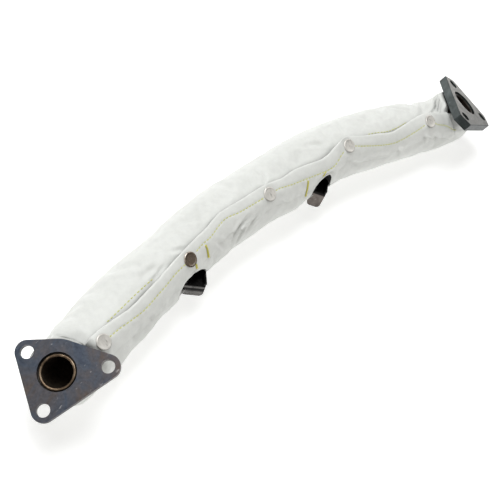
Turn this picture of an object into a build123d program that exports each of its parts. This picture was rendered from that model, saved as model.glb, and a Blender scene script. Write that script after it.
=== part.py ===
"""Exhaust crossover pipe in a removable insulation jacket, with a three-bolt flange at each end.

Frame: the origin is the centre of the inlet gasket face, +X runs straight to the outlet gasket face,
and +Z is the side that both flanges face. All sizes are millimetres.
"""
import math
import os

from build123d import *

# ---- driving dimensions -------------------------------------------------------------------------
centre_distance = 620.0        # inlet face centre to outlet face centre
inlet_splay = -26.0            # degrees that the inlet face leans back from +Z, in the XZ plane
outlet_splay = 27.5            # degrees that the outlet face leans forward from +Z
inlet_twist = -4.0             # degrees that the inlet face turns about X
outlet_twist = 4.0             # degrees that the outlet face turns about X

tube_diameter = 32.0
tube_wall = 2.0
tube_recess = 3.0              # pipe end below each gasket face
inlet_leg = 26.0               # inlet face to the corner of the first bend
outlet_leg = 37.0              # corner of the last bend to the outlet face
inlet_bend_radius = 33.0
outlet_bend_radius = 45.0
bend_lead = 2.0                # straight length between a bend's arc and its butt weld
run_corners = [(95.0, 21.5, -20.0), (205.0, 41.0, -18.0), (415.0, 44.5, -13.5)]
run_radii = [780.0, 780.0, 640.0]
run_lengths = 4                # lengths that the long run is divided into

flange_bore = 34.5
bolt_hole = 12.0
bolt_circle = [(43.5, 0.0), (31.5, 141.0), (34.0, 247.0)]   # radius and angle of each bolt hole
inlet_turn = 326.5             # angle of the long bolt lobe about the inlet axis
outlet_turn = 203.5            # the same at the outlet, where the pattern is mirrored
inlet_thickness = 6.0
outlet_thickness = 10.0
lobe_radius = 10.5
pad_radius = 28.5              # rounded middle of the inlet flange outline
outlet_pad_radius = 25.0
corner_half_width = 9.0        # half of each cut corner of the outlet flange
flange_edge_chamfer = 0.6
weld_leg = 4.0
weld_toe = 1.0                 # how far the fillet weld spreads past its leg on the flange
seal_bead_height = 1.3
seal_bead_overlap = 0.6        # seal bead over the pipe's bore
seal_bead_outside = 0.3        # and outside the pipe
butt_bead_height = 1.2
butt_bead_half_width = 2.5

facing_inner = 17.4            # jacket layers, radii about the pipe's axis
facing_outer = 18.0
mat_outer = 30.4
cover_outer = 31.5
outlet_step = 3.0              # the jacket is slimmer round the outlet bend
jacket_gap = 2.0               # flange back to the jacket's end
hem_thickness = 1.0

flap_inner = 35.2
flap_outer = 36.4
flap_edge_angle = 4.0          # free edge, from +Z towards -Y
flap_root_angle = 44.0
flap_web_angle = 2.0           # width of the folded root, in degrees
flap_margin = 2.0              # flap ends short of the run's ends by this much

snap_stations = [9.0, 134.0, 257.0, 382.0, 516.0]    # along the run, from the first butt weld
snap_angles = [17.0, 28.0, 23.0, 21.0, 20.0]         # from +Z towards -Y
cap_radius = 7.5
cap_height = 1.6
cap_edge_radius = 1.0
socket_radius = 6.0
socket_height = 2.0
socket_wall = 0.6              # closed top of the socket
stud_radius = 5.0
stud_base_height = 0.8
stud_post_radius = 3.0
stud_post_height = 2.2
stud_post_edge = 0.8
stud_fit = 0.2                 # radial clearance between stud and socket
rivet_radius = 1.6
rivet_end = 0.9                # rivet barrel into the stud
washer_radius = 4.5
washer_thickness = 0.7
washer_gap = 0.5               # flat washer and socket clear of the curved cloth over them
socket_gap = 0.7
cap_barrel_end = 0.4           # cap's barrel into the socket

bracket_thickness = 2.0
bracket_wall_height = 6.0
lip_corner_radius = 4.0
slot_clearance = 0.6
patch_thickness = 0.8
patch_border = 9.0

# name: end edge centre, plan angle of the strip, width, lip length
brackets = {
    "bracket_1": ((176.5, 1.0, -22.0), 52.0, 22.0, 12.0),
    "bracket_2": ((372.0, 10.0, -20.0), 40.0, 15.0, 18.0),
}
strip_length = 46.0            # before it is trimmed to the pipe
lip_lean = 20.0                # degrees that the lip leans outwards from straight down


# ---- frames -------------------------------------------------------------------------------------
def face_normal(splay, twist):
    """Outward direction of a gasket face."""
    a = math.radians(splay)
    b = math.radians(twist)
    return Vector(math.sin(a), -math.cos(a) * math.sin(b), math.cos(a) * math.cos(b))


def face_plane(origin, normal):
    """Plane of a gasket face: local X lies across Y, local Z points out of the flange."""
    return Plane(origin=origin, x_dir=Vector(0, 1, 0).cross(normal), z_dir=normal)


inlet_normal = face_normal(inlet_splay, inlet_twist)
outlet_normal = face_normal(outlet_splay, outlet_twist)
inlet_centre = Vector(0, 0, 0)
outlet_centre = Vector(centre_distance, 0, 0)
inlet_plane = face_plane(inlet_centre, inlet_normal)
outlet_plane = face_plane(outlet_centre, outlet_normal)

corners = [Vector(*p) for p in run_corners]
inlet_corner = inlet_centre - inlet_normal * inlet_leg
outlet_corner = outlet_centre - outlet_normal * outlet_leg
run_in = (corners[0] - inlet_corner).normalized()
run_out = (outlet_corner - corners[-1]).normalized()


def weld_distance(direction_in, direction_out, radius):
    """Distance from a bend's corner to the butt weld on the run."""
    return radius * math.tan(math.radians(direction_in.get_angle(direction_out)) / 2) + bend_lead


run_start = inlet_corner + run_in * weld_distance(-inlet_normal, run_in, inlet_bend_radius)
run_end = outlet_corner - run_out * weld_distance(run_out, outlet_normal, outlet_bend_radius)
inlet_end = inlet_centre - inlet_normal * tube_recess
outlet_end = outlet_centre - outlet_normal * tube_recess

inlet_path = FilletPolyline(inlet_end, inlet_corner, run_start, radius=[inlet_bend_radius])
run_path = FilletPolyline(run_start, *corners, run_end, radius=run_radii)
outlet_path = FilletPolyline(run_end, outlet_corner, outlet_end, radius=[outlet_bend_radius])


def station_plane(distance, angle=0.0):
    """Plane on the run at a distance along it: local X along the pipe, local Z radially outwards."""
    centre = run_path.position_at(distance, position_mode=PositionMode.LENGTH)
    along = run_path.tangent_at(distance, position_mode=PositionMode.LENGTH)
    up = (Vector(0, 0, 1) - along * along.Z).normalized()
    side = up.cross(along)
    a = math.radians(angle)
    outward = up * math.cos(a) - side * math.sin(a)
    return Plane(origin=centre, x_dir=along, z_dir=outward)


def section_plane(path):
    """Plane across a path's start: local Y towards +Z, local Z along the path."""
    along = path.tangent_at(0)
    up = (Vector(0, 0, 1) - along * along.Z).normalized()
    return Plane(origin=path.position_at(0), x_dir=up.cross(along), z_dir=along)


def swept_ring(path, inner, outer):
    """Hollow round solid along a path."""
    place = Plane(origin=path.position_at(0), z_dir=path.tangent_at(0))
    return sweep(place * (Circle(outer) - Circle(inner)), path=path)


def swept_rod(path, radius):
    place = Plane(origin=path.position_at(0), z_dir=path.tangent_at(0))
    return sweep(place * Circle(radius), path=path)


def disc(radius, height, base=0.0):
    """Cylinder along local Z that starts at a height."""
    return Pos(0, 0, base) * Cylinder(radius, height, align=(Align.CENTER, Align.CENTER, Align.MIN))


# ---- pipe ---------------------------------------------------------------------------------------
tube_radius = tube_diameter / 2
tube_bore = tube_radius - tube_wall
run_total = run_path.length
section_length = run_total / run_lengths


def between_stations(solid, start, end):
    """The part of a solid between two planes across the run."""
    if start > 0:
        place = station_plane(start)
        solid = split(solid, Plane(origin=place.origin, z_dir=place.x_dir), keep=Keep.TOP)
    if end < run_total:
        place = station_plane(end)
        solid = split(solid, Plane(origin=place.origin, z_dir=place.x_dir), keep=Keep.BOTTOM)
    return solid


def below(solid, plane, depth):
    """The part of a solid more than a depth behind a gasket face."""
    return split(solid, plane.offset(-depth), keep=Keep.BOTTOM)


def butt_bead(distance):
    """Raised weld bead round the pipe at a station of the run."""
    place = station_plane(distance)
    profile = Plane.XZ * (
        Pos(0, tube_radius) * Ellipse(butt_bead_half_width, butt_bead_height)
        - Pos(0, tube_radius / 2) * Rectangle(6 * butt_bead_half_width, tube_radius)
    )
    return place * revolve(profile, axis=Axis.X)


# ---- flanges ------------------------------------------------------------------------------------
def bolt_points(mirrored):
    sign = -1 if mirrored else 1
    points = []
    for radius, angle in bolt_circle:
        a = math.radians(sign * angle)
        points.append((radius * math.cos(a), radius * math.sin(a)))
    return points


def drilled(blank, points, thickness):
    """Flange blank with its port and bolt holes."""
    blank -= disc(flange_bore / 2, thickness * 2, -thickness * 1.5)
    for x, y in points:
        blank -= Pos(x, y, 0) * disc(bolt_hole / 2, thickness * 2, -thickness * 1.5)
    return blank


def inlet_flange():
    points = bolt_points(False)
    outline = Sketch() + [Pos(x, y) * Circle(lobe_radius) for x, y in points] + Circle(pad_radius)
    plate = extrude(make_hull(outline.edges()), amount=-inlet_thickness)
    plate = drilled(plate, points, inlet_thickness)
    return inlet_plane * Rot(0, 0, inlet_turn) * plate


def outlet_flange():
    points = bolt_points(True)
    outline = Sketch() + Circle(outlet_pad_radius)
    for x, y in points:
        turn = math.degrees(math.atan2(y, x))
        reach = math.hypot(x, y) + lobe_radius
        corner = Rectangle(2 * lobe_radius, 2 * corner_half_width)
        outline += Rot(0, 0, turn) * Pos(reach - lobe_radius, 0) * corner
    plate = extrude(make_hull(outline.edges()), amount=-outlet_thickness)
    plate = chamfer(plate.faces().sort_by(Axis.Z)[-1].outer_wire().edges(), flange_edge_chamfer)
    plate = drilled(plate, points, outlet_thickness)
    return outlet_plane * Rot(0, 0, outlet_turn) * plate


def seal_weld(plane):
    """Bead that covers the pipe's end inside the flange bore."""
    inner = tube_bore - seal_bead_overlap
    outer = tube_radius + seal_bead_outside
    middle = (inner + outer) / 2
    profile = Plane.XZ * Pos(middle, -tube_recess) * Ellipse((outer - inner) / 2, seal_bead_height)
    profile = split(profile, Plane.XY.offset(-tube_recess), keep=Keep.TOP)
    return plane * revolve(profile, axis=Axis.Z)


def fillet_weld(plane, thickness, tube):
    """Weld between the back of a flange and the pipe."""
    inside = tube_radius - weld_toe / 2
    outline = Polyline(
        (inside, -thickness),
        (tube_radius + weld_leg + weld_toe, -thickness),
        (tube_radius + weld_leg / 2, -thickness - weld_leg + weld_toe),
        (inside, -thickness - weld_leg),
        close=True,
    )
    ring = revolve(Plane.XZ * make_face(outline), axis=Axis.Z)
    return (plane * ring) - tube


# ---- brackets -----------------------------------------------------------------------------------
def bracket_place(end_centre, plan_angle):
    """Local X outwards along the strip, local Y across it, origin at the bend line."""
    a = math.radians(plan_angle)
    return Plane(origin=end_centre, x_dir=(-math.cos(a), -math.sin(a), 0), z_dir=(0, 0, 1))


def bracket(end_centre, plan_angle, width, lip_length, tube):
    """Pressed channel with a turned-down lip, its inner end trimmed to the pipe."""
    t = bracket_thickness
    floor = Pos(-strip_length / 2, 0, -t / 2) * Box(strip_length, width, t)
    walls = Part()
    for side in (1, -1):
        y = side * (width / 2 - t / 2)
        walls += Pos(-strip_length / 2, y, bracket_wall_height / 2 - t) * Box(
            strip_length, t, bracket_wall_height)
    lip = Pos(0, 0, -lip_length / 2) * Box(t, width, lip_length)
    lip = fillet(lip.edges().filter_by(Axis.X).group_by(Axis.Z)[0], lip_corner_radius)
    knee = Rot(90, 0, 0) * Cylinder(t / 2, width)
    body = floor + walls + Pos(0, 0, -t / 2) * (Rot(0, -lip_lean, 0) * lip + knee)
    placed = bracket_place(end_centre, plan_angle) * body
    placed -= tube
    return placed.solids().sort_by(lambda s: -s.distance_to(Vector(*end_centre)))[-1]


def bracket_clearance(end_centre, plan_angle, width, lip_length, grow):
    """Space that a bracket's strip and lip take through the jacket."""
    t = bracket_thickness
    height = bracket_wall_height + 2 * grow
    block = Box(strip_length + 2 * grow, width + 2 * grow, height)
    block = Pos(-strip_length / 2, 0, height / 2 - t - grow) * block
    reach = lip_length * math.sin(math.radians(lip_lean)) + 2 * t + grow
    drop = lip_length + t
    front = Box(reach + 2 * grow, width + 2 * grow, drop + 2 * grow)
    front = Pos(reach / 2 - t, 0, -drop / 2 + grow) * front
    return bracket_place(end_centre, plan_angle) * (block + front)


# ---- snap fasteners -----------------------------------------------------------------------------
def snap_cap():
    """Domed cap above the flap, with its rivet barrel through the flap."""
    dome = disc(cap_radius, cap_height, flap_outer)
    dome = fillet(dome.edges().sort_by(Axis.Z)[-1], cap_edge_radius)
    low = flap_inner - socket_gap - cap_barrel_end
    return dome + disc(rivet_radius, flap_outer - low, low)


def snap_socket():
    """Spring socket under the flap."""
    low = flap_inner - socket_gap - socket_height
    ring = disc(socket_radius, socket_height, low)
    ring -= disc(stud_post_radius + stud_fit, socket_height - socket_wall, low)
    return ring - disc(rivet_radius, cap_barrel_end, flap_inner - socket_gap - cap_barrel_end)


def snap_stud():
    """Stud on the outside of the cover."""
    base = disc(stud_radius, stud_base_height, cover_outer)
    post = disc(stud_post_radius, stud_post_height, cover_outer)
    post = fillet(post.edges().sort_by(Axis.Z)[-1], stud_post_edge)
    return base + post - disc(rivet_radius, rivet_end, cover_outer)


def snap_rivet():
    """Washer-headed rivet under the cover that holds the stud."""
    low = mat_outer - washer_gap - washer_thickness
    head = disc(washer_radius, washer_thickness, low)
    return head + disc(rivet_radius, cover_outer - low + rivet_end, low)


def at_snaps(piece):
    return [station_plane(s, a) * piece for s, a in zip(snap_stations, snap_angles)]


# ---- jacket -------------------------------------------------------------------------------------
def sector(inner, outer, low, high):
    """Part of a ring between two angles from local Y."""
    reach = 2 * outer
    points = [(0, 0)]
    for degrees in (low, (low + high) / 2, high):
        a = math.radians(degrees)
        points.append((-reach * math.sin(a), reach * math.cos(a)))
    return (Circle(outer) - Circle(inner)) & make_face(Polyline(*points, close=True))


def flap():
    """Overlap flap along the run, raised on the snaps and folded down to the cover at its root."""
    band = sector(flap_inner, flap_outer, flap_edge_angle, flap_root_angle)
    root = sector(cover_outer, flap_outer, flap_root_angle - flap_web_angle, flap_root_angle)
    solid = sweep(section_plane(run_path) * (band + root), path=run_path)
    solid = between_stations(solid, flap_margin, run_total - flap_margin)
    thickness = flap_outer - flap_inner
    for hole in at_snaps(disc(rivet_radius, 3 * thickness, flap_inner - thickness)):
        solid -= hole
    return solid


def patch(end_centre, plan_angle, width, lip_length, shell):
    """Reinforcing patch sewn round a bracket's opening."""
    outer = bracket_clearance(end_centre, plan_angle, width, lip_length, patch_border)
    slot = bracket_clearance(end_centre, plan_angle, width, lip_length, slot_clearance)
    piece = (shell & outer) - slot
    return piece.solids().sort_by(lambda s: s.distance_to(Vector(*end_centre)))[0]


def weld_clearance(plane, thickness):
    """Space inside the jacket's end for the fillet weld."""
    reach = weld_leg + 2 * slot_clearance
    return plane * disc(tube_radius + weld_leg + weld_toe + slot_clearance, reach, -thickness - reach)


def end_hem(path, plane, depth, outer):
    """Closed hem at one end of the jacket, parallel to the flange."""
    ring = swept_ring(path, facing_inner, outer)
    ring = below(ring, plane, depth)
    return split(ring, plane.offset(-depth - hem_thickness), keep=Keep.TOP)


# ---- build --------------------------------------------------------------------------------------
parts = {}
tube_inlet = swept_ring(inlet_path, tube_bore, tube_radius)
tube_run = swept_ring(run_path, tube_bore, tube_radius)
tube_outlet = swept_ring(outlet_path, tube_bore, tube_radius)
rod_run = swept_rod(run_path, tube_radius)

parts["inlet_flange"] = inlet_flange()
parts["outlet_flange"] = outlet_flange()
parts["inlet_elbow"] = tube_inlet
parts["outlet_elbow"] = tube_outlet
for index in range(run_lengths):
    piece = between_stations(tube_run, index * section_length, (index + 1) * section_length)
    parts[f"run_tube_{index + 1}"] = piece
parts["inlet_seal_weld"] = seal_weld(inlet_plane)
parts["outlet_seal_weld"] = seal_weld(outlet_plane)
rod_inlet = swept_rod(inlet_path, tube_radius)
rod_outlet = swept_rod(outlet_path, tube_radius)
parts["inlet_fillet_weld"] = fillet_weld(inlet_plane, inlet_thickness, rod_inlet)
parts["outlet_fillet_weld"] = fillet_weld(outlet_plane, outlet_thickness, rod_outlet)
parts["inlet_butt_weld"] = butt_bead(0) - tube_inlet - tube_run
parts["outlet_butt_weld"] = butt_bead(run_total) - tube_outlet - tube_run

for name, (centre, angle, width, lip) in brackets.items():
    parts[name] = bracket(centre, angle, width, lip, rod_run)

layers = {
    "facing": (facing_inner, facing_outer),
    "mat": (facing_outer, mat_outer),
    "cover": (mat_outer, cover_outer),
}
inlet_depth = inlet_thickness + jacket_gap
outlet_depth = outlet_thickness + jacket_gap
inlet_clearance = weld_clearance(inlet_plane, inlet_thickness)
outlet_clearance = weld_clearance(outlet_plane, outlet_thickness)
slots = [bracket_clearance(c, a, w, lip, slot_clearance) for c, a, w, lip in brackets.values()]
washer_low = mat_outer - washer_gap - washer_thickness
washers = at_snaps(disc(washer_radius, 4 * washer_thickness, washer_low))
barrels = at_snaps(disc(rivet_radius, 4 * rivet_radius, washer_low))

for layer, (inner, outer) in layers.items():
    slim = 0.0 if layer == "facing" else outlet_step
    slim_inner = inner - outlet_step if layer == "cover" else inner
    inlet_piece = swept_ring(inlet_path, inner, outer)
    inlet_piece = below(inlet_piece, inlet_plane, inlet_depth + hem_thickness)
    parts[f"{layer}_inlet"] = inlet_piece - inlet_clearance
    outlet_piece = swept_ring(outlet_path, slim_inner, outer - slim)
    outlet_piece = below(outlet_piece, outlet_plane, outlet_depth + hem_thickness)
    parts[f"{layer}_outlet"] = outlet_piece - outlet_clearance
    run_piece = swept_ring(run_path, inner, outer)
    run_piece = below(run_piece, inlet_plane, inlet_depth + hem_thickness)
    for slot in slots:
        run_piece -= slot
    if layer == "mat":
        for washer in washers:
            run_piece -= washer
        for index in range(run_lengths):
            piece = between_stations(run_piece, index * section_length, (index + 1) * section_length)
            parts[f"mat_run_{index + 1}"] = piece
        continue
    if layer == "cover":
        for barrel in barrels:
            run_piece -= barrel
    parts[f"{layer}_run"] = run_piece

parts["inlet_hem"] = end_hem(inlet_path, inlet_plane, inlet_depth, cover_outer) - inlet_clearance
outlet_hem = end_hem(outlet_path, outlet_plane, outlet_depth, cover_outer - outlet_step)
parts["outlet_hem"] = outlet_hem - outlet_clearance
parts["closure_flap"] = flap()
patch_shell = swept_ring(run_path, cover_outer, cover_outer + patch_thickness)
for index, (centre, angle, width, lip) in enumerate(brackets.values(), start=1):
    parts[f"opening_patch_{index}"] = patch(centre, angle, width, lip, patch_shell)

snap_pieces = {
    "snap_cap": snap_cap(),
    "snap_socket": snap_socket(),
    "snap_stud": snap_stud(),
    "snap_rivet": snap_rivet(),
}
for name, piece in snap_pieces.items():
    for index, placed in enumerate(at_snaps(piece), start=1):
        parts[f"{name}_{index}"] = placed

os.makedirs("parts", exist_ok=True)
for name, shape in parts.items():
    shape.label = name
    export_step(shape, f"parts/{name}.step")
    solids = shape.solids()
    print(f"{name}: {len(solids)} solid(s), {sum(s.volume for s in solids) / 1000:.2f} cm3")
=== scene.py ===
"""Looks of a jacketed exhaust crossover pipe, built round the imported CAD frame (metres)."""
import bisect
import math
import random

import bmesh
import bpy
from mathutils import Matrix, Vector, noise
from mathutils.bvhtree import BVHTree


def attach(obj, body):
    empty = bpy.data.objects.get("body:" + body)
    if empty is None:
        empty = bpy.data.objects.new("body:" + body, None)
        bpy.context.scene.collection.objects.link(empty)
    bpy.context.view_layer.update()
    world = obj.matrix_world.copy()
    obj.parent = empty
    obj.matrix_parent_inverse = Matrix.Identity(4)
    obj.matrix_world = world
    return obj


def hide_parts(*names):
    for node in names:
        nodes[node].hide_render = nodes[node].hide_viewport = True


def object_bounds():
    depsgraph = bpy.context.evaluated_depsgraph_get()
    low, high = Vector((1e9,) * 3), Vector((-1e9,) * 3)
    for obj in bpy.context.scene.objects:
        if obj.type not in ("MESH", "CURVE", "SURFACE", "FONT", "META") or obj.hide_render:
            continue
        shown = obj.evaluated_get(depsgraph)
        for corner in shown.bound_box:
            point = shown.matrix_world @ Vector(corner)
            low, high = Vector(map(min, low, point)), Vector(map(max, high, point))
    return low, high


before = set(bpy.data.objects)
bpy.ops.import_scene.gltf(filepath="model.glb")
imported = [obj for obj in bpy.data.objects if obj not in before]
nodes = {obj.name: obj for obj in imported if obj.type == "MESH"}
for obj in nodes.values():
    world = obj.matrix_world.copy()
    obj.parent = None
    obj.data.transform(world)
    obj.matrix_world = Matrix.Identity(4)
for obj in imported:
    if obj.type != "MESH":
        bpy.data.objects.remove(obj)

cad_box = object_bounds()
MM = 0.001

# ---- dimensions of the CAD source (millimetres, degrees) ----
inlet_splay, inlet_twist = -26.0, -4.0
outlet_splay, outlet_twist = 27.5, 4.0
inlet_leg, outlet_leg = 26.0, 37.0
run_corners = [(95.0, 21.5, -20.0), (205.0, 41.0, -18.0), (415.0, 44.5, -13.5)]
bend_radii = [33.0, 780.0, 780.0, 640.0, 45.0]
bend_lead = 2.0
weld_reach = 21.6  # space inside the jacket's end for the flange weld
facing_radius = 17.4  # bore of the jacket round the pipe
cover_radius = 31.5
outlet_step = 3.0
flap_radius = 36.4
inlet_depth, outlet_depth = 8.0, 12.0  # from each gasket face to the jacket's end
snap_stations = [9.0, 134.0, 257.0, 382.0, 516.0]
snap_angles = [17.0, 28.0, 23.0, 21.0, 20.0]
bracket_ends = {"bracket_1": (176.5, 1.0, -22.0), "bracket_2": (372.0, 10.0, -20.0)}
cap_radius = 7.5

# Stitch line and free edge of the flap: station along the run, angle from the top towards -Y.
seam_line = [
    (-12, 20), (0, 15), (9, 17), (30, 23), (46, 29), (61, 33), (85, 32.5), (112, 29), (134, 28),
    (152, 24), (170, 23), (186, 17.5), (198, 15.5), (213, 20), (240, 22.5), (257, 23), (272, 24.5),
    (290, 31), (309, 36), (326, 40), (344, 43), (356, 40), (368, 29), (382, 21), (393, 26.5),
    (414, 35), (435, 41), (452, 43), (467, 40), (484, 34), (501, 27), (516, 20), (528, 28),
    (546, 34), (560, 42), (574, 57),
]
free_edge = [
    (-12, 0), (5, 0), (20, 4), (33, 9), (53, 16), (85, 17), (112, 14.5), (134, 12), (152, 10.5),
    (170, 9), (186, 4.5), (198, 2.5), (222, 5.5), (255, 7), (282, 13), (298, 12.5), (316, 16),
    (335, 20.5), (349, 20), (366, 11), (384, 5.5), (407, 14), (431, 20), (451, 23.5), (468, 18),
    (490, 9.5), (509, 4), (530, 5), (545, 7), (556, 7.5), (575, 9),
]

# Openings for the brackets: outline on the jacket, station along the run and angle from the top.
slot_outlines = {
    "bracket_1": [
        (109, 70), (115, 59), (123, 54), (131, 54.5), (139, 56), (147, 60), (152, 66), (156, 76),
        (158, 84), (163, 93), (163, 106), (140, 109), (114, 106), (108, 86)],
    "bracket_2": [
        (316, 86), (319, 72), (325, 61), (332, 55.5), (341, 53), (349, 53), (353, 60), (355, 74),
        (356, 84), (360, 94), (360, 107), (336, 109), (320, 106), (315, 95)],
}
per_degree = 0.56  # millimetres of cloth in a degree round the jacket

random.seed(7)


# ---- small helpers ----
def smooth(x, low=0.0, high=1.0):
    t = min(1.0, max(0.0, (x - low) / (high - low)))
    return t * t * (3 - 2 * t)


def bump(distance, width):
    return math.exp(-(distance / width) ** 2)


def through(points, x):
    """Smooth curve through (x, y) points."""
    if x <= points[0][0]:
        return points[0][1]
    if x >= points[-1][0]:
        return points[-1][1]
    for i in range(len(points) - 1):
        (x0, y0), (x1, y1) = points[i], points[i + 1]
        if x0 <= x <= x1:
            before = points[max(0, i - 1)]
            after = points[min(len(points) - 1, i + 2)]
            m0 = (y1 - before[1]) / (x1 - before[0])
            m1 = (after[1] - y0) / (after[0] - x0)
            h = x1 - x0
            t = (x - x0) / h
            return ((2 * t**3 - 3 * t**2 + 1) * y0 + (t**3 - 2 * t**2 + t) * h * m0
                    + (-2 * t**3 + 3 * t**2) * y1 + (t**3 - t**2) * h * m1)


def closed_pairs(points):
    """Each point of a closed outline with the next one."""
    return zip(points, points[1:] + points[:1])


def nearest_on(x, y, start, end):
    """Nearest place on a straight piece: its coordinates, distance and share along."""
    (x0, y0), (x1, y1) = start, end
    dx, dy = x1 - x0, y1 - y0
    t = min(1.0, max(0.0, ((x - x0) * dx + (y - y0) * dy) / (dx * dx + dy * dy)))
    px, py = x0 + t * dx, y0 + t * dy
    return px, py, math.hypot(x - px, y - py), t


def band(first, second, sides):
    """Faces between two rings of vertices, given the first vertex of each."""
    return [(first + j, first + (j + 1) % sides, second + (j + 1) % sides, second + j)
            for j in range(sides)]


def round_points(centre, side, other, sides, radius):
    """A ring of points about a centre."""
    turns = [2 * math.pi * j / sides for j in range(sides)]
    return [centre + (side * math.cos(a) + other * math.sin(a)) * radius for a in turns]


def face_normal(splay, twist):
    a, b = math.radians(splay), math.radians(twist)
    return Vector((math.sin(a), -math.cos(a) * math.sin(b), math.cos(a) * math.cos(b)))


inlet_normal = face_normal(inlet_splay, inlet_twist)
outlet_normal = face_normal(outlet_splay, outlet_twist)
outlet_centre = Vector((620.0, 0, 0))


class Centreline:
    """The pipe's line from one gasket face to the other: straight legs joined by arcs."""

    def __init__(self):
        route = [Vector((0, 0, 0)), inlet_normal * -inlet_leg]
        route += [Vector(p) for p in run_corners]
        route += [outlet_centre - outlet_normal * outlet_leg, outlet_centre]
        self.pieces = []
        here = route[0]
        length = 0.0
        for i in range(1, len(route) - 1):
            back = (route[i - 1] - route[i]).normalized()
            ahead = (route[i + 1] - route[i]).normalized()
            turn = math.pi - back.angle(ahead)
            radius = bend_radii[i - 1]
            start = route[i] + back * radius * math.tan(turn / 2)
            leg = (start - here).length
            self.pieces.append((length, leg, here, -back, None, 0))
            length += leg
            centre = route[i] + (back + ahead).normalized() * radius / math.cos(turn / 2)
            outward = (start - centre).normalized()
            self.pieces.append((length, radius * turn, centre, -back, outward, radius))
            length += radius * turn
            here = route[i] + ahead * radius * math.tan(turn / 2)
        leg = (route[-1] - here).length
        direction = (route[-1] - here).normalized()
        self.pieces.append((length, leg, here, direction, None, 0))
        self.length = length + leg

    def at(self, distance):
        for start, size, origin, direction, outward, radius in self.pieces:
            if distance <= start + size or start + size >= self.length - 1e-6:
                d = distance - start
                if not radius:
                    return origin + direction * d, direction
                a = d / radius
                point = origin + (outward * math.cos(a) + direction * math.sin(a)) * radius
                return point, direction * math.cos(a) - outward * math.sin(a)
        return None

    def station(self, distance):
        """Centre, direction along, up and side at a distance from the inlet face."""
        centre, along = self.at(distance)
        up = (Vector((0, 0, 1)) - along * along.z).normalized()
        return centre, along, up, up.cross(along)

    def outward(self, distance, angle):
        _, _, up, side = self.station(distance)
        a = math.radians(angle)
        return up * math.cos(a) - side * math.sin(a)

    def surface(self, distance, angle, radius):
        return self.at(distance)[0] + self.outward(distance, angle) * radius


line = Centreline()
START = line.pieces[2][0] + bend_lead
END = line.pieces[-2][0] - bend_lead


def placed(name, data):
    obj = bpy.data.objects.new(name, data)
    bpy.context.scene.collection.objects.link(obj)
    return obj


def shade_smooth(mesh):
    for p in mesh.polygons:
        p.use_smooth = True


def make_object(name, verts, faces):
    """Smooth-shaded mesh object from vertices in millimetres."""
    mesh = bpy.data.meshes.new(name)
    mesh.from_pydata([v * MM for v in verts], [], faces)
    mesh.validate()
    mesh.update()
    shade_smooth(mesh)
    return placed(name, mesh)


def applied(obj):
    """Turns an object's modifiers into its mesh."""
    graph = bpy.context.evaluated_depsgraph_get()
    graph.update()
    mesh = bpy.data.meshes.new_from_object(obj.evaluated_get(graph))
    obj.modifiers.clear()
    old = obj.data
    obj.data = mesh
    bpy.data.meshes.remove(old)
    return obj


def rounded_off(obj):
    """Subdivides a mesh once."""
    obj.modifiers.new("smooth", "SUBSURF").levels = 1
    return applied(obj)


# ---- camera ----
# Looks down on the inlet end, rolled so that the pipe climbs to the right.
back = Vector((-0.5844, -0.1552, 0.7965)).normalized()
right = Vector((0.676, -0.6361, 0.372))
right = (right - back * right.dot(back)).normalized()
turn = Matrix((right, back.cross(right), back)).transposed().to_4x4()
lens = bpy.data.cameras.new("camera")
lens.sensor_width = 36.0
lens.lens = 75.6
lens.clip_start = 0.01
camera = placed("camera", lens)
camera.matrix_world = Matrix.Translation((-0.3623, -0.1639, 0.8173)) @ turn
bpy.context.scene.camera = camera


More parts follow.
